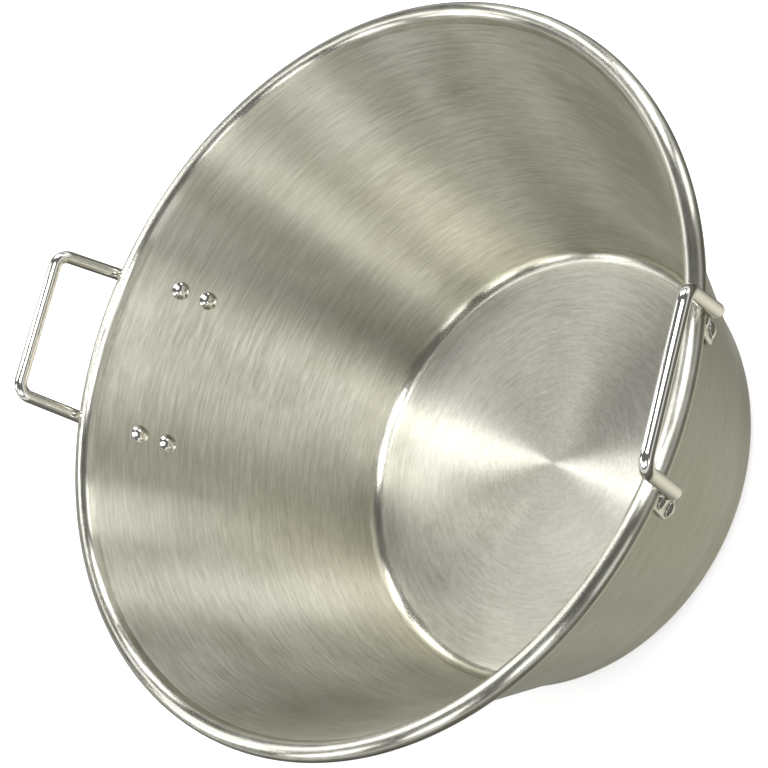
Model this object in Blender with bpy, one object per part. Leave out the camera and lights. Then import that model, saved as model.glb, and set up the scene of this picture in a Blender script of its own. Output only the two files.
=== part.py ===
"""Brew kettle: an open, tapered stainless steel vessel with a rolled rim and two riveted rod handles.

The vessel is spun from sheet and its rim is curled outwards round a wire. Each handle is one bent rod:
its two ends are flattened into feet, riveted to the outside of the wall, and joggled out round the rim.
Frame: metres, +Z up, origin at the middle of the flat base, handles at +X (right) and -X (left).
"""

from math import acos, atan2, cos, pi, radians, sin, sqrt, tan

import bmesh
import bpy
from mathutils import Matrix, Vector

# Driving dimensions, in metres.
SHEET = 0.0015                # thickness of the vessel's sheet
CLEARANCE = 0.0003            # left between pieces that touch

RIM_RADIUS = 0.2225           # kettle's axis to the middle of the rolled rim
RIM_HEIGHT = 0.2010           # base to the middle of the rolled rim
BEAD_RADIUS = 0.0058          # outside radius of the roll
WIRE_RADIUS = 0.0038          # wire inside the roll
CURL_GAP = 0.0009             # between the roll's free edge and the wall

FLOOR_RADIUS = 0.1364         # flat part of the floor
CORNER_RADIUS = 0.0100        # inside radius between floor and wall
WALL_ANGLE = radians(20.5)    # of the long upper wall, from the kettle's axis
SHOULDER_ANGLE = radians(16)  # of the short lower wall, from the kettle's axis

ROD_RADIUS = 0.0040
GRIP_RADIUS = 0.2396          # kettle's axis to the middle of the grip
GRIP_HEIGHT = 0.2435          # base to the middle of the grip
GRIP_HALF = 0.0465            # handle's mid-plane to the middle of a leg, at the grip
GRIP_SHIFTS = {"right": -0.0038, "left": 0.0}  # how far bending left each grip off the mid-plane, along Y
LEG_SPACING = 0.0490          # handle's mid-plane to the middle of a leg, at the joggle and the foot
LEG_LEAN = radians(15.8)      # of the legs, from the kettle's axis
JOGGLE_HEIGHT = 0.1870        # where a leg turns in towards the wall
GRIP_BEND = 0.0090            # middle radius of the bends at the grip
JOGGLE_BEND = 0.0058          # middle radius of the bends at the joggle

FOOT_WIDTH = 0.0136
FOOT_THICKNESS = 0.0030
FOOT_END_HEIGHT = 0.1432      # lower end of a foot
FOOT_MARGIN = 0.0055          # flat foot above the upper rivet
FOOT_END_TURN = radians(12)   # where the foot's round end starts, which leaves it a small flat
RIVET_HEIGHTS = {"upper": 0.1707, "lower": 0.1519}
SHANK_RADIUS = 0.0024
FACET_SAG = 0.0002            # how far the faceted wall lies inside the true one
INNER_HEAD_RADIUS = 0.0060
INNER_HEAD_RISE = 0.0026
OUTER_HEAD_RADIUS = 0.0050
OUTER_HEAD_RISE = 0.0024

TURNED_STEPS = 72             # facets round the vessel
ROD_SIDES = 12
RIVET_SIDES = 16
SHARP_ANGLE = radians(40)     # edges sharper than this stay crisp
HOLE_REACH = 0.0080           # half the length of a hole's cutter
HOLE_OFFSET = 0.0020          # middle of the cutter, outside the wall's inside face

STEEL = (0.60, 0.585, 0.545, 1.0)
BRIGHT_STEEL = (0.74, 0.735, 0.72, 1.0)


def clear_scene():
    for item in list(bpy.data.objects):
        bpy.data.objects.remove(item, do_unlink=True)


def metal(name, colour, roughness):
    """A bare metal finish."""
    material = bpy.data.materials.new(name)
    material.use_nodes = True
    shader = material.node_tree.nodes["Principled BSDF"]
    shader.inputs["Base Color"].default_value = colour
    shader.inputs["Metallic"].default_value = 1.0
    shader.inputs["Roughness"].default_value = roughness
    return material


def smooth_mesh(name, shape):
    """Turns a bmesh into a smooth-shaded mesh."""
    bmesh.ops.recalc_face_normals(shape, faces=shape.faces)
    mesh = bpy.data.meshes.new(name)
    shape.to_mesh(mesh)
    shape.free()
    mesh.shade_smooth()
    mesh.set_sharp_from_angle(angle=SHARP_ANGLE)
    return mesh


def add_object(name, mesh, material=None):
    if material and not mesh.materials:
        mesh.materials.append(material)
    item = bpy.data.objects.new(name, mesh)
    bpy.context.scene.collection.objects.link(item)
    return item


def turned(profile, steps, closed=False):
    """Spins a profile of (radius, height) points about Z. Points at radius 0 become one vertex."""
    shape = bmesh.new()
    points = [shape.verts.new((radius, 0.0, height)) for radius, height in profile]
    ends = zip(points, points[1:] + points[:1]) if closed else zip(points, points[1:])
    edges = [shape.edges.new(pair) for pair in ends]
    bmesh.ops.spin(shape, geom=points + edges, cent=(0, 0, 0), axis=(0, 0, 1),
                   angle=2 * pi, steps=steps, use_merge=True)
    bmesh.ops.remove_doubles(shape, verts=shape.verts, dist=0.00001)
    return shape


def arc(centre, radius, start, end, steps):
    """Points of an arc in (radius, height), from one angle to another."""
    angles = [start + (end - start) * i / steps for i in range(steps + 1)]
    return [(centre[0] + radius * cos(a), centre[1] + radius * sin(a)) for a in angles]


# The vessel's wall. Its inside face is a floor, a corner, a short lower wall and a long cone that runs
# into the roll, and its outside face is one sheet thickness away.

def cone_radius(height, offset=0.0):
    """Radius of the long wall at a height, on its inside face or a distance outside it."""
    touch_radius = RIM_RADIUS - BEAD_RADIUS * cos(WALL_ANGLE)
    touch_height = RIM_HEIGHT + BEAD_RADIUS * sin(WALL_ANGLE)
    return touch_radius - (touch_height - height) * tan(WALL_ANGLE) + offset / cos(WALL_ANGLE)


def wall_crease(offset):
    """Where the lower wall meets the cone, on the face that lies a distance outside the inside face."""
    reach = CORNER_RADIUS + offset
    corner_height = SHEET + CORNER_RADIUS
    lower_radius = FLOOR_RADIUS + reach * cos(SHOULDER_ANGLE)
    lower_height = corner_height - reach * sin(SHOULDER_ANGLE)
    gap = cone_radius(lower_height, offset) - lower_radius
    height = lower_height + gap / (tan(SHOULDER_ANGLE) - tan(WALL_ANGLE))
    return cone_radius(height, offset), height


def body_profile():
    corner = (FLOOR_RADIUS, SHEET + CORNER_RADIUS)
    roll = (RIM_RADIUS, RIM_HEIGHT)
    roll_inner = BEAD_RADIUS - SHEET
    start = pi - WALL_ANGLE
    turn_steps = 10
    # The free edge stops short of the wall's outside face.
    wall_distance = roll_inner - CURL_GAP
    end = start - 2 * pi + acos(wall_distance / (BEAD_RADIUS - SHEET / 2))
    inside = [(0.0, SHEET)]
    inside += arc(corner, CORNER_RADIUS, -pi / 2, -SHOULDER_ANGLE, 4)
    inside.append(wall_crease(0.0))
    roll_outside = arc(roll, BEAD_RADIUS, start, end, turn_steps)
    roll_inside = arc(roll, roll_inner, end, start, turn_steps)
    outside = [wall_crease(SHEET)]
    outside += arc(corner, CORNER_RADIUS + SHEET, -SHOULDER_ANGLE, -pi / 2, 4)
    outside.append((0.0, 0.0))
    return inside + roll_outside + roll_inside + outside


# A handle lies in a plane that leans out from the kettle's axis. Its path is given for the right handle,
# with the kettle's radius along X; a half turn about Z makes the left one.

LEAN = Vector((sin(LEG_LEAN), 0.0, cos(LEG_LEAN)))        # along a leg, upwards
LEAN_NORMAL = Vector((cos(LEG_LEAN), 0.0, -sin(LEG_LEAN)))  # square to the handle's plane, outwards


def wall_point(side, height, offset):
    """A point level with a leg, a distance outside the inside face. side is 1 or -1 for +Y or -Y."""
    radius = cone_radius(height, offset)
    return Vector((sqrt(radius ** 2 - LEG_SPACING ** 2), side * LEG_SPACING, height))


def wall_normal(side, height):
    """The wall's outward normal level with a leg."""
    point = wall_point(side, height, 0.0)
    around = atan2(point.y, point.x)
    return Vector((cos(WALL_ANGLE) * cos(around), cos(WALL_ANGLE) * sin(around), -sin(WALL_ANGLE)))


def rounded(corner, before, after, radius, steps):
    """Points of a bend of a given middle radius at a corner between two neighbours."""
    back = (before - corner).normalized()
    on = (after - corner).normalized()
    half = acos(back.dot(on)) / 2
    middle = corner + (back + on).normalized() * radius / sin(half)
    first = corner + back * radius / tan(half) - middle
    last = corner + on * radius / tan(half) - middle
    return [middle + first.slerp(last, i / steps).normalized() * radius for i in range(steps + 1)]


def leg_stations(side, shift):
    """Stations of one leg, from the foot's end to the end of the grip's bend.

    A station is (middle, flat direction, half width, half thickness). The flat direction is square
    to the rod, and the foot's thickness lies along it.
    """
    stand_off = SHEET + CLEARANCE + FOOT_THICKNESS / 2
    foot_end = wall_point(side, FOOT_END_HEIGHT, stand_off)
    wall_side = wall_normal(side, RIVET_HEIGHTS["upper"])
    foot_half = FOOT_WIDTH / 2
    foot_flat = FOOT_THICKNESS / 2
    grip = Vector((GRIP_RADIUS, shift + side * GRIP_HALF, GRIP_HEIGHT))
    joggle = Vector((GRIP_RADIUS, side * LEG_SPACING, GRIP_HEIGHT))
    joggle += LEAN * (JOGGLE_HEIGHT - GRIP_HEIGHT) / LEAN.z
    foot_line = (wall_point(side, RIM_HEIGHT, stand_off) - foot_end).normalized()
    foot_top = foot_end + foot_line * (joggle - foot_end).dot(foot_line)

    stations = []
    for i in range(5):
        turn = FOOT_END_TURN + (pi / 2 - FOOT_END_TURN) * i / 4
        middle = foot_end + foot_line * foot_half * (1 - cos(turn))
        stations.append((middle, wall_side, foot_half * sin(turn), foot_flat))
    flat_height = RIVET_HEIGHTS["upper"] + FOOT_MARGIN - FOOT_END_HEIGHT
    flat_end = foot_end + foot_line * flat_height / foot_line.z
    stations.append((flat_end, wall_side, foot_half, foot_flat))
    lower_bend = rounded(foot_top, foot_end, joggle, JOGGLE_BEND, 5)
    for i, middle in enumerate(lower_bend):
        share = (i + 1) / 6
        flat = foot_flat + (ROD_RADIUS - foot_flat) * share
        wide = foot_half + (ROD_RADIUS - foot_half) * share
        stations.append((middle, wall_side.lerp(LEAN_NORMAL, share), wide, flat))
    for middle in rounded(joggle, foot_top, grip, JOGGLE_BEND, 5):
        stations.append((middle, LEAN_NORMAL, ROD_RADIUS, ROD_RADIUS))
    across = Vector((GRIP_RADIUS, shift, GRIP_HEIGHT))
    for middle in rounded(grip, joggle, across, GRIP_BEND, 6):
        stations.append((middle, LEAN_NORMAL, ROD_RADIUS, ROD_RADIUS))
    return stations


def swept(stations, sides):
    """A solid through elliptical sections at the stations, closed at both ends."""
    shape = bmesh.new()
    middles = [station[0] for station in stations]
    rings = []
    for i, (middle, flat, half_width, half_thickness) in enumerate(stations):
        along = (middles[min(i + 1, len(middles) - 1)] - middles[max(i - 1, 0)]).normalized()
        across = along.cross(flat).normalized()
        thick = across.cross(along)
        ring = []
        for k in range(sides):
            turn = 2 * pi * (k + 0.5) / sides
            point = middle + across * half_width * cos(turn) + thick * half_thickness * sin(turn)
            ring.append(shape.verts.new(point))
        rings.append(ring)
    for ring, following in zip(rings, rings[1:]):
        for k in range(sides):
            j = (k + 1) % sides
            shape.faces.new((ring[k], ring[j], following[j], following[k]))
    shape.faces.new(rings[0])
    shape.faces.new(rings[-1])
    return shape


def rivet_places():
    """Name, place and outward direction of each rivet of the right handle, on the wall's inside face."""
    places = {}
    for end, side in (("front", -1), ("back", 1)):
        for level, height in RIVET_HEIGHTS.items():
            places[f"{end}_{level}"] = (wall_point(side, height, 0.0), wall_normal(side, height))
    return places


def aligned(place, direction):
    """Matrix that moves a turned piece to a place, with its axis along a direction."""
    return Matrix.Translation(place) @ direction.to_track_quat("Z", "Y").to_matrix().to_4x4()


def rivet_holes(turn):
    """Cutters for the four rivet holes of one handle, through the foot and the wall."""
    shape = bmesh.new()
    for place, direction in rivet_places().values():
        matrix = turn @ aligned(place, direction) @ Matrix.Translation((0.0, 0.0, HOLE_OFFSET))
        bmesh.ops.create_cone(shape, cap_ends=True, segments=RIVET_SIDES, depth=2 * HOLE_REACH, matrix=matrix,
                              radius1=SHANK_RADIUS + CLEARANCE, radius2=SHANK_RADIUS + CLEARANCE)
    return shape


def add_cutter(name, shape):
    cutter = add_object(name, smooth_mesh(name, shape))
    cutter.hide_render = True
    cutter.display_type = "WIRE"
    return cutter


def cut(item, cutter):
    hole = item.modifiers.new(cutter.name, "BOOLEAN")
    hole.operation = "DIFFERENCE"
    hole.solver = "EXACT"
    hole.object = cutter


def rivet_profile():
    """A domed inner head, a shank and a smaller domed outer head, from inside the kettle outwards."""
    inner_seat = -CLEARANCE - FACET_SAG
    outer_seat = SHEET + FOOT_THICKNESS + 2 * CLEARANCE

    def dome(radius, rise):
        """Points of a shallow dome, from its top to its edge."""
        sphere = (radius ** 2 + rise ** 2) / (2 * rise)
        reach = acos(1 - rise / sphere)
        return [(sphere * sin(reach * i / 4), sphere * (cos(reach * i / 4) - 1) + rise) for i in range(5)]

    outer = [(radius, outer_seat + rise) for radius, rise in dome(OUTER_HEAD_RADIUS, OUTER_HEAD_RISE)]
    inner = [(radius, inner_seat - rise) for radius, rise in dome(INNER_HEAD_RADIUS, INNER_HEAD_RISE)]
    shank = [(SHANK_RADIUS, outer_seat), (SHANK_RADIUS, inner_seat)]
    return outer + shank + inner[::-1]


def build():
    clear_scene()
    brushed = metal("brushed_steel", STEEL, 0.34)
    polished = metal("polished_steel", BRIGHT_STEEL, 0.12)

    vessel = turned(body_profile(), TURNED_STEPS)
    body = add_object("kettle_body", smooth_mesh("kettle_body", vessel), brushed)
    wire_ring = arc((RIM_RADIUS, RIM_HEIGHT), WIRE_RADIUS, 0.0, 2 * pi, 8)[:-1]
    add_object("rim_wire", smooth_mesh("rim_wire", turned(wire_ring, TURNED_STEPS, closed=True)), polished)

    rivet = smooth_mesh("rivet", turned(rivet_profile(), RIVET_SIDES))
    for hand, turn in (("right", Matrix.Identity(4)), ("left", Matrix.Rotation(pi, 4, "Z"))):
        shift = GRIP_SHIFTS[hand]
        shape = swept(leg_stations(-1, shift) + leg_stations(1, shift)[::-1], ROD_SIDES)
        bmesh.ops.transform(shape, matrix=turn, verts=shape.verts)
        handle = add_object(f"handle_{hand}", smooth_mesh(f"handle_{hand}", shape), polished)
        holes = add_cutter(f"rivet_holes_{hand}", rivet_holes(turn))
        cut(handle, holes)
        cut(body, holes)
        for name, (place, direction) in rivet_places().items():
            item = add_object(f"rivet_{hand}_{name}", rivet, polished)
            item.matrix_world = turn @ aligned(place, direction)


build()
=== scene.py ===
"""Finished surfaces for an open, tapered stainless steel brew kettle.

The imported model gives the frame: metres, +Z up, the flat base on z = 0, handles at +X and -X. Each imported
piece that shows is replaced by a finer one in the same place, with a metal that has its real working marks.
"""

from math import acos, atan2, cos, pi, radians, sin, sqrt, tan

import bmesh
import bpy
from bpy.props import FloatProperty, FloatVectorProperty, IntProperty, PointerProperty
from mathutils import Matrix, Vector


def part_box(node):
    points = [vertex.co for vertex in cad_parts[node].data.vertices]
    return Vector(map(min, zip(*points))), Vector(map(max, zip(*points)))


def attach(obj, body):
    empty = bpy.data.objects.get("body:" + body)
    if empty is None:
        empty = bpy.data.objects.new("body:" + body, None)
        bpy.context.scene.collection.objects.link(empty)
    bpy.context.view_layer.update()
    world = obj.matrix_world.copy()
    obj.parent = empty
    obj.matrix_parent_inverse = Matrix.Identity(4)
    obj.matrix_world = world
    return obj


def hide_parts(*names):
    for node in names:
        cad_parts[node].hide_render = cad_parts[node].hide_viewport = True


bl_info = {
    "name": "Brew kettle",
    "version": (1, 0, 0),
    "blender": (4, 5, 0),
    "location": "3D View > Sidebar > Kettle",
    "description": "Builds the finished pieces of an open stainless steel kettle round its packed frame",
    "category": "Add Mesh",
}

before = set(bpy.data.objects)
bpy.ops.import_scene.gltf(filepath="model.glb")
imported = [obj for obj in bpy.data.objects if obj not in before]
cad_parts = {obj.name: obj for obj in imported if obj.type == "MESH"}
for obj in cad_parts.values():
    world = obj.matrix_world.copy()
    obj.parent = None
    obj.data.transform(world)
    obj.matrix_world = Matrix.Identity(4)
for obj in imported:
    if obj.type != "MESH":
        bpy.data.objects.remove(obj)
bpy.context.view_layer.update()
BODY_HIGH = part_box("kettle_body")[1]
WIRE_LOW, WIRE_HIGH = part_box("rim_wire")
WIRE_RADIUS = (WIRE_HIGH.z - WIRE_LOW.z) / 2
RIM_HEIGHT = (WIRE_HIGH.z + WIRE_LOW.z) / 2
RIM_RADIUS = WIRE_HIGH.x - WIRE_RADIUS
BEAD_RADIUS = BODY_HIGH.x - RIM_RADIUS


# Short forms of the properties.

def length(name, default, description):
    return FloatProperty(name=name, default=default, description=description, min=0.0,
                         subtype="DISTANCE", unit="LENGTH", precision=4)


def angle(name, default, description):
    return FloatProperty(name=name, default=radians(default), description=description,
                         subtype="ANGLE", unit="ROTATION")


def colour(name, default, description):
    return FloatVectorProperty(name=name, default=default, description=description, size=3,
                               min=0.0, max=1.0, subtype="COLOR")


def share(name, default, description):
    return FloatProperty(name=name, default=default, description=description, min=0.0, max=1.0,
                         subtype="FACTOR")


class KettleVessel(bpy.types.PropertyGroup):
    """Sizes of the spun vessel."""
    sheet: length("Sheet", 0.0015, "Thickness of the sheet")
    rim_radius: length("Rim radius", RIM_RADIUS, "Axis to the middle of the rolled rim")
    rim_height: length("Rim height", RIM_HEIGHT, "Base to the middle of the rolled rim")
    bead_radius: length("Bead radius", BEAD_RADIUS, "Outside radius of the roll")
    curl_gap: length("Curl gap", 0.0009, "Between the roll's free edge and the wall")
    floor_radius: length("Floor radius", 0.1364, "Radius of the flat floor")
    corner_radius: length("Corner radius", 0.0100, "Inside radius between floor and wall")
    wall_angle: angle("Wall angle", 20.5, "Lean of the long wall from the axis")
    shoulder_angle: angle("Lower wall angle", 16.0, "Lean of the short lower wall from the axis")
    crease_radius: length("Crease radius", 0.0600, "Radius of the soft crease between the two walls")
    segments: IntProperty(name="Segments", default=360, min=48, description="Facets round the vessel")


class KettleHandle(bpy.types.PropertyGroup):
    """Sizes of a handle and its rivets."""
    rod_radius: length("Rod radius", 0.0040, "Radius of the handle's rod")
    grip_radius: length("Grip distance", 0.2396, "Axis to the middle of the grip")
    grip_height: length("Grip height", 0.2435, "Base to the middle of the grip")
    grip_half: length("Grip half", 0.0465, "Middle of the handle to the middle of a leg, at the grip")
    right_shift: length("Right grip shift", 0.0038, "How far bending left the right grip off its middle")
    leg_spacing: length("Leg spacing", 0.0490, "Middle of the handle to the middle of a leg, at the foot")
    leg_lean: angle("Leg lean", 15.8, "Lean of the legs from the axis")
    joggle_height: length("Joggle height", 0.1870, "Where a leg turns in towards the wall")
    grip_bend: length("Grip bend", 0.0090, "Middle radius of the bends at the grip")
    joggle_bend: length("Joggle bend", 0.0058, "Middle radius of the bends at the joggle")
    foot_width: length("Foot width", 0.0136, "Width of the flattened foot")
    foot_thickness: length("Foot thickness", 0.0030, "Thickness of the flattened foot")
    foot_end: length("Foot end", 0.1432, "Height of the foot's lower end")
    foot_margin: length("Foot margin", 0.0055, "Flat left above the upper rivet")
    upper_rivet: length("Upper rivet", 0.1707, "Height of the upper rivet")
    lower_rivet: length("Lower rivet", 0.1519, "Height of the lower rivet")
    shank_radius: length("Shank radius", 0.0024, "Radius of a rivet's shank")
    inner_head: length("Inner head", 0.0060, "Radius of the rivet head inside the kettle")
    inner_rise: length("Inner rise", 0.0026, "Height of the head inside the kettle")
    outer_head: length("Outer head", 0.0050, "Radius of the rivet head outside the kettle")
    outer_rise: length("Outer rise", 0.0024, "Height of the head outside the kettle")
    clearance: length("Clearance", 0.0003, "Left between pieces that touch")
    dull_top: length("Dull top", 0.1900, "Height below which the rod is duller, from being pressed")
    dull_fade: length("Dull fade", 0.0100, "Height over which the polish fades there")
    sides: IntProperty(name="Sides", default=40, min=8, description="Facets round the rod")
    head_segments: IntProperty(name="Head segments", default=56, min=8, description="Facets round a rivet")


class KettleFinish(bpy.types.PropertyGroup):
    """Colours and polish of the metals."""
    steel: colour("Brushed steel", (0.680, 0.668, 0.585), "Colour of the vessel in its brighter marks")
    steel_dull: colour("Dull steel", (0.485, 0.474, 0.394), "Colour of the vessel in its duller marks")
    # Painted shade: a multiplier that darkens the steel on the vessel's floor, down between the walls.
    floor_painted_shade: colour("Floor shade", (0.875, 0.875, 0.885), "What the steel is multiplied by on the floor")
    bright: colour("Polished steel", (0.780, 0.767, 0.710), "Colour of the rods and rivets")
    body_roughness: share("Vessel roughness", 0.35, "Roughness of the brushed vessel")
    body_grain: share("Vessel grain", 0.95, "How much longer reflections are across the brushing")
    roll_polish: share("Rolled rim polish", 0.12, "How much smoother the rolled rim is than the wall")
    corner_polish: share("Corner polish", 0.12, "How much smoother the floor's corner is than the wall")
    brushing: share("Brushing", 0.28, "How strong the brush lines' relief is")
    brush_depth: length("Brush depth", 0.0004, "Height that the brush lines' relief stands for")
    scuff_depth: length("Scuff depth", 0.0002, "Height that the rods' and rivets' relief stands for")
    rod_roughness: share("Rod roughness", 0.13, "Roughness of the polished rods")
    foot_dullness: share("Foot dullness", 0.16, "How much rougher the pressed feet are than the rods")


class KettleStage(bpy.types.PropertyGroup):
    """Floor, surroundings, lights and camera."""
    floor_radius: length("Floor radius", 6.0, "Radius of the round floor")
    floor_drop: length("Floor drop", 0.0005, "How far the floor is below the kettle's base")
    floor_colour: colour("Floor", (0.90, 0.90, 0.90), "Colour of the floor")
    floor_glow: share("Floor glow", 0.60, "Light that the floor gives, as if lit from behind")
    below: share("Below", 0.85, "Brightness of the surroundings straight below")
    under: share("Under", 0.10, "Brightness of the surroundings well below the horizon")
    low: share("Low", 0.16, "Brightness of the surroundings a little below the horizon")
    level: share("Level", 0.90, "Brightness of the surroundings at the horizon")
    above: share("Above", 0.15, "Brightness of the surroundings overhead")
    ground_colour: colour("Ground colour", (1.0, 0.975, 0.83), "Colour of what is below the horizon")
    ground_slope: share("Ground slope", 0.25, "How much brighter it is towards +X, and darker towards -X")
    light_colour: colour("Light colour", (0.96, 0.965, 1.00), "Colour of the lights, a little cool")
    light_distance: length("Light distance", 2.0, "From the middle of the kettle to each light")
    aim: FloatVectorProperty(name="Aim", default=(-0.0274, 0.0051, 0.1462), subtype="XYZ", unit="LENGTH",
                             description="Point that the camera looks at")
    azimuth: angle("Azimuth", -15.64, "Camera's direction from the aim point, from +X towards +Y")
    elevation: angle("Elevation", 46.62, "Camera's height above the horizon")
    distance: length("Distance", 1.3001, "Camera's distance from the aim point")
    roll: angle("Roll", -63.77, "Turn of the camera about its line of sight")
    lens: FloatProperty(name="Lens", default=101.0, unit="CAMERA",
                        description="Focal length in millimetres")


# Shader maths: a Wire is a node's output, and an expression on wires and numbers adds Math nodes.

class Wire:
    """One output of a node, which can stand in a Python expression."""

    def __init__(self, surface, socket):
        self.surface = surface
        self.socket = socket

    def maths(self, operation, first, second=0.0):
        return self.surface.node("ShaderNodeMath", {"operation": operation}, {0: first, 1: second})

    def __add__(self, other):
        return self.maths("ADD", self, other)

    def __sub__(self, other):
        return self.maths("SUBTRACT", self, other)

    def __rsub__(self, other):
        return self.maths("SUBTRACT", other, self)

    def __mul__(self, other):
        return self.maths("MULTIPLY", self, other)

    def __truediv__(self, other):
        return self.maths("DIVIDE", self, other)

    def __rtruediv__(self, other):
        return self.maths("DIVIDE", other, self)

    def __pow__(self, other):
        return self.maths("POWER", self, other)

    __radd__ = __add__
    __rmul__ = __mul__


class Surface:
    """The nodes of one material, or of the world."""

    def __init__(self, owner):
        self.owner = owner
        owner.use_nodes = True
        self.tree = owner.node_tree
        self.tree.nodes.clear()

    def node(self, kind, settings=None, inputs=None, output=0):
        """Adds a node, with its settings set before its sockets, and gives one of its outputs.

        Settings and inputs go by name or, where a node has two sockets of one name, by number.
        """
        made = self.tree.nodes.new(kind)
        for name, value in (settings or {}).items():
            if name == "stops":
                self.set_stops(made.color_ramp.elements, value)
            else:
                setattr(made, name, value)
        for name, value in (inputs or {}).items():
            if isinstance(value, Wire):
                self.tree.links.new(value.socket, made.inputs[name])
            else:
                made.inputs[name].default_value = value
        return Wire(self, made.outputs[output])

    @staticmethod
    def set_stops(elements, stops):
        """Gives a ramp its (position, grey) stops."""
        while len(elements) < len(stops):
            elements.new(1.0)
        for element, (position, grey) in zip(elements, stops):
            element.position = position
            element.color = (grey, grey, grey, 1.0)

    def blend(self, factor, first, second, how="MIX"):
        """A colour between two others, or the first one laid over with the second.

        The Mix node's colours are its sockets 6 and 7, and its mixed colour is its output 2.
        """
        settings = {"data_type": "RGBA", "blend_type": how}
        return self.node("ShaderNodeMix", settings, {0: factor, 6: first, 7: second}, 2)

    def ramp(self, value, *stops):
        """Grey that follows (value, grey) stops, which go from 0 to 1."""
        return self.node("ShaderNodeValToRGB", {"stops": stops}, {"Fac": value})

    def noise(self, vector, scale, detail=2.0, roughness=0.5):
        """Noise with scale grains in a unit of the vector."""
        settings = {"noise_dimensions": "3D"}
        inputs = {"Vector": vector, "Scale": scale, "Detail": detail, "Roughness": roughness}
        return self.node("ShaderNodeTexNoise", settings, inputs)

    def vector(self, x, y, z):
        return self.node("ShaderNodeCombineXYZ", inputs={"X": x, "Y": y, "Z": z})

    def parts(self, vector):
        """The x, y and z of a vector."""
        split = self.node("ShaderNodeSeparateXYZ", inputs={"Vector": vector}).socket.node
        return [Wire(self, output) for output in split.outputs]

    def places(self):
        """The point on the object, in metres in the kettle's frame."""
        return self.node("ShaderNodeTexCoord", output="Object")

    def relief(self, height, strength, depth):
        """A normal that follows a height from 0 to 1, which stands for a depth in metres."""
        inputs = {"Strength": strength, "Distance": depth, "Height": height}
        return self.node("ShaderNodeBump", inputs=inputs)

    def finish(self, inputs):
        """Adds the shader and the output."""
        shader = self.node("ShaderNodeBsdfPrincipled", {"distribution": "MULTI_GGX"}, inputs)
        output = self.tree.nodes.new("ShaderNodeOutputMaterial")
        self.tree.links.new(shader.socket, output.inputs["Surface"])
        return self.owner


def rgba(value):
    return (*value, 1.0)


# Metals.

AXIS_GUARD = 1e-8     # keeps the middle of the floor from dividing by zero
QUARTER_TURN = 0.25   # reflections are drawn out across the brushing, not along it


def turned_places(surface):
    """Coordinates that follow the turning: two that go once round the axis, the radius and the height."""
    x, y, z = surface.parts(surface.places())
    radius = (x * x + y * y + AXIS_GUARD) ** 0.5
    return x / radius, y / radius, radius, z


def turned_noise(surface, turning, around, across, detail, shift):
    """Noise drawn out round the axis. around is its detail in a turn, across is its detail per metre.

    Radius plus height grows all the way from the middle of the floor up the wall to the rim. The shift sets
    one noise apart from the others.
    """
    cosine, sine, radius, height = turning
    spot = surface.vector(cosine * around + shift, sine * around, (radius + height) * across)
    return surface.noise(spot, 1.0, detail)


def rolled_places(steel, turning, vessel):
    """Three masks: 1 on the rolled rim, 1 in the floor's corner and 1 on the floor."""
    radius, height = turning[2:]
    beyond_roll = radius - vessel.rim_radius
    above_roll = height - vessel.rim_height
    reach = (beyond_roll * beyond_roll + above_roll * above_roll) ** 0.5
    on_roll = steel.ramp(reach / vessel.bead_radius - 1.0, (0.10, 1.0), (0.40, 0.0))
    beyond_floor = (radius + height - vessel.floor_radius) / (2 * vessel.corner_radius)
    on_corner = steel.ramp(beyond_floor, (0.02, 0.0), (0.15, 1.0), (0.70, 1.0), (0.95, 0.0))
    on_floor = steel.ramp(radius / vessel.floor_radius, (0.96, 1.0), (1.0, 0.0))
    return on_roll, on_corner, on_floor


def brushed_steel(finish, vessel):
    """Sheet that was spun, then brushed in circles round the axis."""
    steel = Surface(bpy.data.materials.new("brushed_steel"))
    turning = turned_places(steel)
    hairs = turned_noise(steel, turning, around=5.0, across=900.0, detail=2.0, shift=0.0)
    lines = turned_noise(steel, turning, around=3.0, across=330.0, detail=3.0, shift=7.0)
    arcs = turned_noise(steel, turning, around=16.0, across=560.0, detail=1.0, shift=31.0)
    bands = turned_noise(steel, turning, around=1.2, across=45.0, detail=2.0, shift=19.0)
    clouds = steel.noise(steel.places(), 13.0, 4.0, 0.6)
    stains = steel.noise(steel.places(), 42.0, 3.0, 0.6)
    on_roll, on_corner, on_floor = rolled_places(steel, turning, vessel)

    # Each noise is about 0.5 in the middle, so its weight says how far it moves the finish.
    marks = hairs * 0.30 + lines * 0.30 + arcs * 0.32 + bands * 0.08
    patches = clouds * 0.6 + stains * 0.4
    brushed = finish.body_roughness + (marks - 0.5) * 0.20 + (patches - 0.5) * 0.14
    smoother = on_roll * finish.roll_polish + on_corner * finish.corner_polish
    tone = steel.ramp(marks * 0.72 + patches * 0.28, (0.40, 0.0), (0.60, 1.0))
    spun = steel.blend(tone, rgba(finish.steel_dull), rgba(finish.steel))

    # Rolling flattens the brush lines on the rim and in the corner, and the floor is brushed more lightly.
    depth = (1.0 - on_floor * 0.4) * (1.0 - on_roll * 0.85) * (1.0 - on_corner * 0.85)
    relief = steel.relief((marks - 0.5) * depth, finish.brushing, finish.brush_depth)
    # On the floor the steel's colour is multiplied by painted shade, so the floor is darker than the wall.
    return steel.finish({
        "Base Color": steel.blend(on_floor, spun, rgba(finish.floor_painted_shade), "MULTIPLY"), "Metallic": 1.0,
        "Roughness": brushed - smoother, "Anisotropic": finish.body_grain,
        "Anisotropic Rotation": QUARTER_TURN, "Normal": relief})


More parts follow.
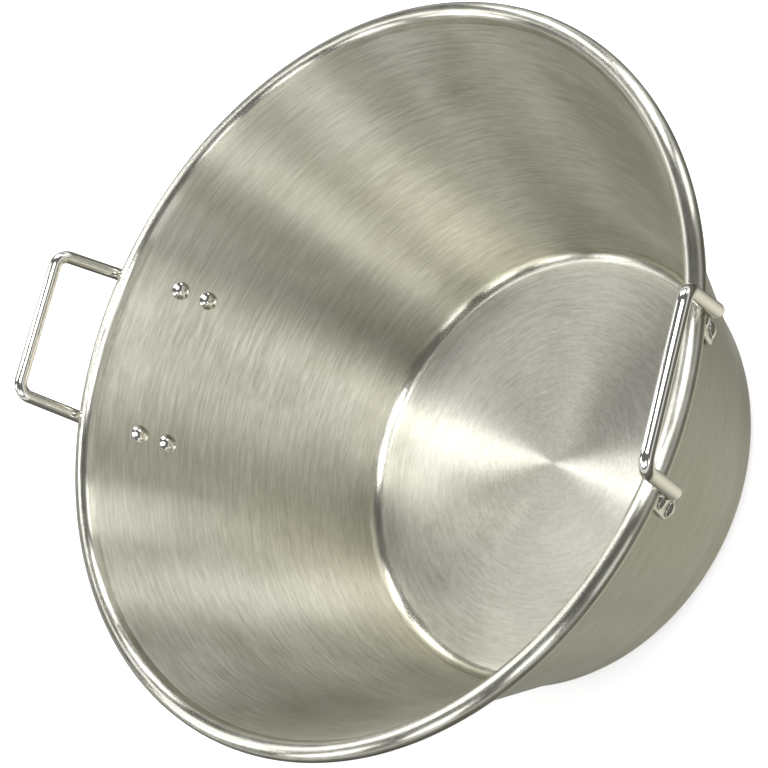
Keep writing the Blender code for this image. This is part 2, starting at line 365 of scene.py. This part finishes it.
def polished_rod(finish, handle):
    """Drawn rod, polished, with faint scuffs, and left duller where the feet are pressed flat."""
    rod = Surface(bpy.data.materials.new("polished_steel"))
    places = rod.places()
    height = rod.parts(places)[2]
    scuffs = rod.noise(places, 900.0, 3.0)
    clouds = rod.noise(places, 60.0, 2.0)
    pressed = rod.ramp((handle.dull_top - height) / handle.dull_fade, (0.0, 0.0), (1.0, 1.0))
    roughness = finish.rod_roughness + (scuffs - 0.5) * 0.08 + (clouds - 0.5) * 0.06
    relief = rod.relief(clouds, 0.08, finish.scuff_depth)
    return rod.finish({
        "Base Color": rgba(finish.bright), "Metallic": 1.0,
        "Roughness": roughness + pressed * finish.foot_dullness, "Normal": relief})


def polished_head(finish):
    """Rivet heads, shined by the set that formed them."""
    head = Surface(bpy.data.materials.new("rivet_steel"))
    scuffs = head.noise(head.places(), 700.0, 3.0)
    relief = head.relief(scuffs, 0.10, finish.scuff_depth)
    return head.finish({
        "Base Color": rgba(finish.bright), "Metallic": 1.0,
        "Roughness": finish.rod_roughness + (scuffs - 0.5) * 0.10, "Normal": relief})


# Mesh building.

SHARP_ANGLE = radians(35)   # edges that turn more than this stay sharp
ON_AXIS = 1e-6              # radius below which a point of a profile is on the axis
WELD_DISTANCE = 1e-7        # points nearer than this are one


def add_piece(name, shape, material, slot, *nodes):
    """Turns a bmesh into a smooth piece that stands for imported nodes."""
    bmesh.ops.recalc_face_normals(shape, faces=shape.faces)
    mesh = bpy.data.meshes.new(name)
    shape.to_mesh(mesh)
    shape.free()
    mesh.shade_smooth()
    mesh.set_sharp_from_angle(angle=SHARP_ANGLE)
    mesh.materials.append(material)
    piece = bpy.data.objects.new(name, mesh)
    bpy.context.scene.collection.objects.link(piece)
    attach(piece, "root")
    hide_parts(*nodes)
    return piece


def turned(profile, segments):
    """Spins a profile of (radius, height) points about Z. Points at radius 0 become one vertex."""
    shape = bmesh.new()
    rings = []
    for radius, height in profile:
        if radius < ON_AXIS:
            rings.append([shape.verts.new((0.0, 0.0, height))] * segments)
            continue
        turns = [2 * pi * i / segments for i in range(segments)]
        rings.append([shape.verts.new((radius * cos(a), radius * sin(a), height)) for a in turns])
    for ring, following in zip(rings, rings[1:]):
        for i in range(segments):
            j = (i + 1) % segments
            corners = (ring[i], ring[j], following[j], following[i])
            shape.faces.new(list(dict.fromkeys(corners)))
    return shape


def arc(centre, radius, start, end, steps):
    """Points of an arc in (radius, height), from one angle to another."""
    angles = [start + (end - start) * i / steps for i in range(steps + 1)]
    return [(centre[0] + radius * cos(a), centre[1] + radius * sin(a)) for a in angles]


def straight(first, last, steps):
    """Points between two others, without the first."""
    return [(first[0] + (last[0] - first[0]) * i / steps, first[1] + (last[1] - first[1]) * i / steps)
            for i in range(1, steps + 1)]


# The vessel's wall. Its inside face is a floor, a corner, a short lower wall and a long cone that runs
# into the roll, and its outside face is one sheet thickness away. The steps are those of each stretch.

FLOOR_STEPS = 12
CORNER_STEPS = 14
CREASE_STEPS = 6
WALL_STEPS = 36
ROLL_STEPS = 60
ROLL_INSIDE_STEPS = 48


def cone_radius(vessel, height, offset=0.0):
    """Radius of the long wall at a height, on its inside face or a distance outside it."""
    touch_radius = vessel.rim_radius - vessel.bead_radius * cos(vessel.wall_angle)
    touch_height = vessel.rim_height + vessel.bead_radius * sin(vessel.wall_angle)
    return touch_radius - (touch_height - height) * tan(vessel.wall_angle) + offset / cos(vessel.wall_angle)


def crease(vessel, offset):
    """The soft crease where the lower wall meets the cone, as points from bottom to top."""
    reach = vessel.corner_radius + offset
    slope = tan(vessel.shoulder_angle)
    lower_radius = vessel.floor_radius + reach * cos(vessel.shoulder_angle)
    lower_height = vessel.sheet + vessel.corner_radius - reach * sin(vessel.shoulder_angle)
    gap = cone_radius(vessel, lower_height, offset) - lower_radius
    height = lower_height + gap / (slope - tan(vessel.wall_angle))
    radius = cone_radius(vessel, height, offset)
    lean_in, lean_up = sin(vessel.shoulder_angle), cos(vessel.shoulder_angle)
    bend = vessel.crease_radius + offset
    reach_down = bend * tan((vessel.wall_angle - vessel.shoulder_angle) / 2)
    start = (radius - reach_down * lean_in, height - reach_down * lean_up)
    centre = (start[0] + bend * lean_up, start[1] - bend * lean_in)
    return arc(centre, bend, pi - vessel.shoulder_angle, pi - vessel.wall_angle, CREASE_STEPS)


def vessel_profile(vessel):
    """The closed section of the vessel, from the middle of the floor up the inside and down the outside."""
    sheet, bead, wall_angle = vessel.sheet, vessel.bead_radius, vessel.wall_angle
    corner = (vessel.floor_radius, sheet + vessel.corner_radius)
    roll = (vessel.rim_radius, vessel.rim_height)
    start = pi - wall_angle
    end = start - 2 * pi + acos((bead - sheet - vessel.curl_gap) / (bead - sheet / 2))
    inside = [(0.0, sheet)]
    inside += straight((0.0, sheet), (vessel.floor_radius, sheet), FLOOR_STEPS)
    inside += arc(corner, vessel.corner_radius, -pi / 2, -vessel.shoulder_angle, CORNER_STEPS)[1:]
    inside += crease(vessel, 0.0)
    roll_outside = arc(roll, bead, start, end, ROLL_STEPS)
    inside += straight(inside[-1], roll_outside[0], WALL_STEPS)[:-1]
    roll_inside = arc(roll, bead - sheet, end, start, ROLL_INSIDE_STEPS)
    low_crease = crease(vessel, sheet)[::-1]
    outside = straight(roll_inside[-1], low_crease[0], WALL_STEPS)[:-1] + low_crease
    outside += arc(corner, vessel.corner_radius + sheet, -vessel.shoulder_angle, -pi / 2, CORNER_STEPS)
    outside += straight((vessel.floor_radius, 0.0), (0.0, 0.0), FLOOR_STEPS)
    return inside + roll_outside + roll_inside + outside


# A handle lies in a plane that leans out from the kettle's axis. Its path is given for the right handle,
# with the kettle's radius along X; a half turn about Z makes the left one.

def wall_point(vessel, handle, side, height, offset):
    """A point level with a leg, a distance outside the inside face. side is 1 or -1 for +Y or -Y."""
    radius = cone_radius(vessel, height, offset)
    return Vector((sqrt(radius ** 2 - handle.leg_spacing ** 2), side * handle.leg_spacing, height))


def wall_normal(vessel, handle, side, height):
    """The wall's outward normal level with a leg."""
    point = wall_point(vessel, handle, side, height, 0.0)
    around = atan2(point.y, point.x)
    level = cos(vessel.wall_angle)
    return Vector((level * cos(around), level * sin(around), -sin(vessel.wall_angle)))


def rounded(corner, before, after, radius, steps):
    """Points of a bend of a given middle radius at a corner between two neighbours."""
    back = (before - corner).normalized()
    on = (after - corner).normalized()
    half = acos(back.dot(on)) / 2
    middle = corner + (back + on).normalized() * radius / sin(half)
    first = corner + back * radius / tan(half) - middle
    last = corner + on * radius / tan(half) - middle
    return [middle + first.slerp(last, i / steps).normalized() * radius for i in range(steps + 1)]


ROUND = 2.0        # section exponent of the round rod
FLATTENED = 3.6    # section exponent of the pressed foot
TIP_STEPS = 12     # stations round the foot's end
TIP_START = 0.6    # how far into the first step the foot's end begins, so that it isn't a point
TIP_EDGE = 0.45    # share of the foot's thickness at its very end
FOOT_STEPS = 8
JOGGLE_STEPS = 14
GRIP_STEPS = 20


def leg_stations(vessel, handle, side, shift):
    """Stations of one leg, from the foot's end to the end of the grip's bend.

    A station is (middle, flat direction, half width, half thickness, section exponent). The flat
    direction is square to the rod, and the foot's thickness lies along it.
    """
    rod = handle.rod_radius
    stand_off = vessel.sheet + handle.clearance + handle.foot_thickness / 2
    foot_end = wall_point(vessel, handle, side, handle.foot_end, stand_off)
    wall_side = wall_normal(vessel, handle, side, handle.upper_rivet)
    wide, flat = handle.foot_width / 2, handle.foot_thickness / 2
    lean = Vector((sin(handle.leg_lean), 0.0, cos(handle.leg_lean)))
    lean_side = Vector((cos(handle.leg_lean), 0.0, -sin(handle.leg_lean)))
    grip = Vector((handle.grip_radius, shift + side * handle.grip_half, handle.grip_height))
    joggle = Vector((handle.grip_radius, side * handle.leg_spacing, handle.grip_height))
    joggle += lean * (handle.joggle_height - handle.grip_height) / lean.z
    foot_line = (wall_point(vessel, handle, side, vessel.rim_height, stand_off) - foot_end).normalized()
    foot_top = foot_end + foot_line * (joggle - foot_end).dot(foot_line)

    stations = []
    for i in range(TIP_STEPS + 1):
        turn = pi / 2 * (i + TIP_START) / (TIP_STEPS + TIP_START)
        edge = TIP_EDGE + (1 - TIP_EDGE) * sqrt(sin(turn))
        stations.append((foot_end + foot_line * wide * (1 - cos(turn)), wall_side,
                         wide * sin(turn), flat * edge, FLATTENED))
    flat_length = (handle.upper_rivet + handle.foot_margin - handle.foot_end) / foot_line.z
    for i in range(1, FOOT_STEPS + 1):
        along = wide + (flat_length - wide) * i / FOOT_STEPS
        stations.append((foot_end + foot_line * along, wall_side, wide, flat, FLATTENED))
    bend = rounded(foot_top, foot_end, joggle, handle.joggle_bend, JOGGLE_STEPS)
    for i, middle in enumerate(bend):
        part = (i + 1) / (len(bend) + 1)
        ease = part * part * (3 - 2 * part)
        stations.append((middle, wall_side.lerp(lean_side, ease), wide + (rod - wide) * ease,
                         flat + (rod - flat) * ease, FLATTENED + (ROUND - FLATTENED) * ease))
    for middle in rounded(joggle, foot_top, grip, handle.joggle_bend, JOGGLE_STEPS):
        stations.append((middle, lean_side, rod, rod, ROUND))
    across = Vector((handle.grip_radius, shift, handle.grip_height))
    for middle in rounded(grip, joggle, across, handle.grip_bend, GRIP_STEPS):
        stations.append((middle, lean_side, rod, rod, ROUND))
    return stations


def swept(stations, sides):
    """A solid through rounded sections at the stations, closed at both ends."""
    shape = bmesh.new()
    middles = [station[0] for station in stations]
    rings = []
    for i, (middle, flat, half_width, half_thickness, exponent) in enumerate(stations):
        before = middles[max(i - 1, 0)]
        after = middles[min(i + 1, len(middles) - 1)]
        along = (after - before).normalized()
        across = along.cross(flat).normalized()
        thick = across.cross(along)
        ring = []
        for k in range(sides):
            turn = 2 * pi * (k + 0.5) / sides
            c, s = cos(turn), sin(turn)
            size = (abs(c) ** exponent + abs(s) ** exponent) ** (-1 / exponent)
            sideways = across * half_width * c * size
            ring.append(shape.verts.new(middle + sideways + thick * half_thickness * s * size))
        rings.append(ring)
    for ring, following in zip(rings, rings[1:]):
        for k in range(sides):
            j = (k + 1) % sides
            shape.faces.new((ring[k], ring[j], following[j], following[k]))
    shape.faces.new(rings[0])
    shape.faces.new(rings[-1])
    return shape


def rivet_places(vessel, handle):
    """Place and outward direction of each rivet of the right handle, on the wall's inside face."""
    places = {}
    for end, side in (("front", -1), ("back", 1)):
        for level, height in (("upper", handle.upper_rivet), ("lower", handle.lower_rivet)):
            places[f"{end}_{level}"] = (wall_point(vessel, handle, side, height, 0.0),
                                        wall_normal(vessel, handle, side, height))
    return places


HEAD_EDGE = 0.22   # rounding of a head's edge, as a share of its rise
HEAD_STEPS = 12
EDGE_STEPS = 5


def dome(radius, rise):
    """Points of a domed head with a small rounded edge, from its top to its edge."""
    edge = rise * HEAD_EDGE
    sphere = ((radius - edge) ** 2 + (rise - edge) ** 2) / (2 * (rise - edge))
    reach = acos(1 - (rise - edge) / sphere)
    turns = [reach * i / HEAD_STEPS for i in range(HEAD_STEPS)]
    points = [(sphere * sin(turn), sphere * (cos(turn) - 1) + rise) for turn in turns]
    edge_turns = [pi / 2 * i / EDGE_STEPS for i in range(EDGE_STEPS + 1)]
    points += [(radius - edge + edge * sin(turn), edge * cos(turn)) for turn in edge_turns]
    return points


def rivet_profile(vessel, handle):
    """A small domed outer head, a shank and a wider domed inner head, from outside the kettle inwards."""
    inner_seat = -handle.clearance
    outer_seat = vessel.sheet + handle.foot_thickness + 2 * handle.clearance
    outer = [(radius, outer_seat + rise) for radius, rise in dome(handle.outer_head, handle.outer_rise)]
    inner = [(radius, inner_seat - rise) for radius, rise in dome(handle.inner_head, handle.inner_rise)]
    shank = [(handle.shank_radius, outer_seat), (handle.shank_radius, inner_seat)]
    return outer + shank + inner[::-1]


# Operators: one for each kind of piece, and one for the stage.

class KETTLE_OT_vessel(bpy.types.Operator):
    """Spins the vessel, with its floor, wall and rolled rim"""
    bl_idname = "kettle.vessel"
    bl_label = "Spun vessel"

    def execute(self, context):
        vessel = context.scene.kettle_vessel
        shape = turned(vessel_profile(vessel), vessel.segments)
        bmesh.ops.remove_doubles(shape, verts=shape.verts, dist=WELD_DISTANCE)
        material = brushed_steel(context.scene.kettle_finish, vessel)
        add_piece("spun_vessel", shape, material, "brushed_steel", "kettle_body")
        return {"FINISHED"}


class KETTLE_OT_wire(bpy.types.Operator):
    """Gives the wire inside the rim its finish"""
    bl_idname = "kettle.wire"
    bl_label = "Rim wire"

    def execute(self, context):
        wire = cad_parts["rim_wire"]
        wire.data.materials.clear()
        wire.data.materials.append(polished_rod(context.scene.kettle_finish, context.scene.kettle_handle))
        return {"FINISHED"}


class KETTLE_OT_handles(bpy.types.Operator):
    """Bends both rod handles"""
    bl_idname = "kettle.handles"
    bl_label = "Handles"

    def execute(self, context):
        vessel, handle = context.scene.kettle_vessel, context.scene.kettle_handle
        material = polished_rod(context.scene.kettle_finish, handle)
        for hand, turn in HANDS.items():
            shift = -handle.right_shift if hand == "right" else 0.0
            front = leg_stations(vessel, handle, -1, shift)
            back = leg_stations(vessel, handle, 1, shift)
            shape = swept(front + back[::-1], handle.sides)
            bmesh.ops.transform(shape, matrix=Matrix.Rotation(turn, 4, "Z"), verts=shape.verts)
            add_piece(f"rod_handle_{hand}", shape, material, "polished_steel", f"handle_{hand}")
        return {"FINISHED"}


class KETTLE_OT_rivets(bpy.types.Operator):
    """Sets the eight rivets"""
    bl_idname = "kettle.rivets"
    bl_label = "Rivets"

    def execute(self, context):
        vessel, handle = context.scene.kettle_vessel, context.scene.kettle_handle
        material = polished_head(context.scene.kettle_finish)
        for hand, turn in HANDS.items():
            for name, (place, direction) in rivet_places(vessel, handle).items():
                shape = turned(rivet_profile(vessel, handle), handle.head_segments)
                spin = direction.to_track_quat("Z", "Y").to_matrix().to_4x4()
                matrix = Matrix.Rotation(turn, 4, "Z") @ Matrix.Translation(place) @ spin
                bmesh.ops.transform(shape, matrix=matrix, verts=shape.verts)
                node = f"rivet_{hand}_{name}"
                add_piece(f"set_{node}", shape, material, "rivet_steel", node)
        return {"FINISHED"}


def add_floor(stage):
    """A pale disc that seems lit from behind. It throws no shadow, and the metal doesn't reflect it."""
    shape = bmesh.new()
    bmesh.ops.create_circle(shape, cap_ends=True, segments=96, radius=stage.floor_radius)
    mesh = bpy.data.meshes.new("studio_floor")
    shape.to_mesh(mesh)
    shape.free()
    surface = Surface(bpy.data.materials.new("pale_floor"))
    mottle = surface.noise(surface.places(), 3.0, 2.0)
    shaded = rgba([channel * 0.98 for channel in stage.floor_colour])
    tone = surface.blend(mottle, shaded, rgba(stage.floor_colour))
    mesh.materials.append(surface.finish({
        "Base Color": tone, "Roughness": 0.9, "Emission Color": tone,
        "Emission Strength": stage.floor_glow}))
    floor = bpy.data.objects.new("studio_floor", mesh)
    bpy.context.scene.collection.objects.link(floor)
    floor.location.z = -stage.floor_drop
    floor.visible_glossy = False
    floor.visible_shadow = False


def add_softbox(name, azimuth, elevation, width, height, power, distance, tint):
    """A rectangular light that faces the middle of the kettle."""
    lamp = bpy.data.lights.new(name, "AREA")
    lamp.shape = "RECTANGLE"
    lamp.size = width
    lamp.size_y = height
    lamp.energy = power
    lamp.color = tint
    item = bpy.data.objects.new(name, lamp)
    turn, rise = radians(azimuth), radians(elevation)
    towards = Vector((cos(rise) * cos(turn), cos(rise) * sin(turn), sin(rise)))
    item.location = Vector((0.0, 0.0, RIM_HEIGHT / 2)) + towards * distance
    item.rotation_mode = "QUATERNION"
    item.rotation_quaternion = towards.to_track_quat("Z", "Y")
    item.visible_camera = False
    bpy.context.scene.collection.objects.link(item)


def surroundings(stage):
    """A world that is bright at the horizon, for the rods, and warm and uneven below it, for the wall."""
    world = Surface(bpy.data.worlds.new("surroundings"))
    x, y, z = world.parts(world.node("ShaderNodeTexCoord", output="Generated"))
    height = z * 0.5 + 0.5

    # Stops as (z of a direction, brightness), from straight down to straight up.
    stops = ((-1.0, stage.below), (-0.80, stage.under), (-0.60, stage.under), (-0.46, stage.low),
             (-0.16, stage.low), (-0.06, stage.level), (0.12, stage.level), (0.24, stage.above))
    tone = world.ramp(height, *[(rise * 0.5 + 0.5, brightness) for rise, brightness in stops])
    sunk = world.ramp(height, (0.25, 1.0), (0.42, 0.0))
    tint = world.blend(sunk, rgba((1.0, 1.0, 1.0)), rgba(stage.ground_colour))
    strength = tone * (1.0 + x * sunk * stage.ground_slope)
    background = world.node("ShaderNodeBackground", inputs={"Color": tint, "Strength": strength})
    output = world.tree.nodes.new("ShaderNodeOutputWorld")
    world.tree.links.new(background.socket, output.inputs["Surface"])
    return world.owner


def add_camera(stage):
    """A camera that looks down the line from its place to the aim point, turned about that line."""
    data = bpy.data.cameras.new("camera")
    data.lens = stage.lens
    camera = bpy.data.objects.new("camera", data)
    level = cos(stage.elevation)
    back = Vector((level * cos(stage.azimuth), level * sin(stage.azimuth), sin(stage.elevation)))
    camera.location = Vector(stage.aim) + back * stage.distance
    camera.rotation_mode = "QUATERNION"
    roll = Matrix.Rotation(stage.roll, 4, "Z").to_quaternion()
    camera.rotation_quaternion = (-back).to_track_quat("-Z", "Y") @ roll
    bpy.context.scene.collection.objects.link(camera)
    bpy.context.scene.camera = camera


class KETTLE_OT_stage(bpy.types.Operator):
    """Adds the pale floor, the surroundings, the soft lights and the camera"""
    bl_idname = "kettle.stage"
    bl_label = "Stage"

    def execute(self, context):
        stage = context.scene.kettle_stage
        add_floor(stage)
        for light in LIGHTS:
            add_softbox(*light, stage.light_distance, stage.light_colour)
        context.scene.world = surroundings(stage)
        context.scene.view_settings.view_transform = "Standard"
        add_camera(stage)
        return {"FINISHED"}


class KETTLE_PT_panel(bpy.types.Panel):
    """Lists the pieces of the kettle"""
    bl_label = "Brew kettle"
    bl_idname = "KETTLE_PT_panel"
    bl_space_type = "VIEW_3D"
    bl_region_type = "UI"
    bl_category = "Kettle"

    def draw(self, context):
        for operator in OPERATORS:
            self.layout.operator(operator.bl_idname)


HANDS = {"right": 0.0, "left": pi}
LIGHTS = (
    # name, azimuth and elevation in degrees, width and height in metres, power in watts
    ("key_high", 0.0, 65.0, 0.31, 0.36, 10.5),
    ("key", 0.0, 55.0, 0.42, 0.70, 3.0),
    ("key_side", 20.0, 55.0, 0.42, 0.70, 5.0),
    ("side_high", 40.0, 65.0, 0.31, 0.36, 7.6),
    ("side_low", 60.0, 15.0, 0.51, 0.70, 3.8),
    ("back_side", 90.0, 35.0, 0.45, 0.70, 11.0),
    ("back", 120.0, 35.0, 0.45, 0.70, 6.0),
    ("far_low", 165.0, 35.0, 0.45, 0.70, 2.4),
    ("far", 180.0, 55.0, 0.42, 0.70, 3.2),
    ("far_front", 210.0, 35.0, 0.45, 0.70, 4.8),
    ("front_left", 240.0, 35.0, 0.45, 0.70, 4.2),
    ("front", 270.0, 35.0, 0.45, 0.70, 4.2),
    ("front_right", 300.0, 35.0, 0.45, 0.70, 3.8),
    ("front_low", 330.0, 15.0, 0.51, 0.70, 1.2),
    ("narrow_strip", 161.0, 63.0, 0.074, 0.50, 3.0),
)
GROUPS = {"kettle_vessel": KettleVessel, "kettle_handle": KettleHandle,
          "kettle_finish": KettleFinish, "kettle_stage": KettleStage}
OPERATORS = (KETTLE_OT_vessel, KETTLE_OT_wire, KETTLE_OT_handles, KETTLE_OT_rivets, KETTLE_OT_stage)


def register():
    for item in (*GROUPS.values(), *OPERATORS, KETTLE_PT_panel):
        bpy.utils.register_class(item)
    for name, group in GROUPS.items():
        setattr(bpy.types.Scene, name, PointerProperty(type=group))


def unregister():
    for name in GROUPS:
        delattr(bpy.types.Scene, name)
    for item in (KETTLE_PT_panel, *OPERATORS, *GROUPS.values()):
        bpy.utils.unregister_class(item)


def main():
    register()
    bpy.ops.kettle.vessel()
    bpy.ops.kettle.wire()
    bpy.ops.kettle.handles()
    bpy.ops.kettle.rivets()
    bpy.ops.kettle.stage()


if __name__ == "__main__":
    main()
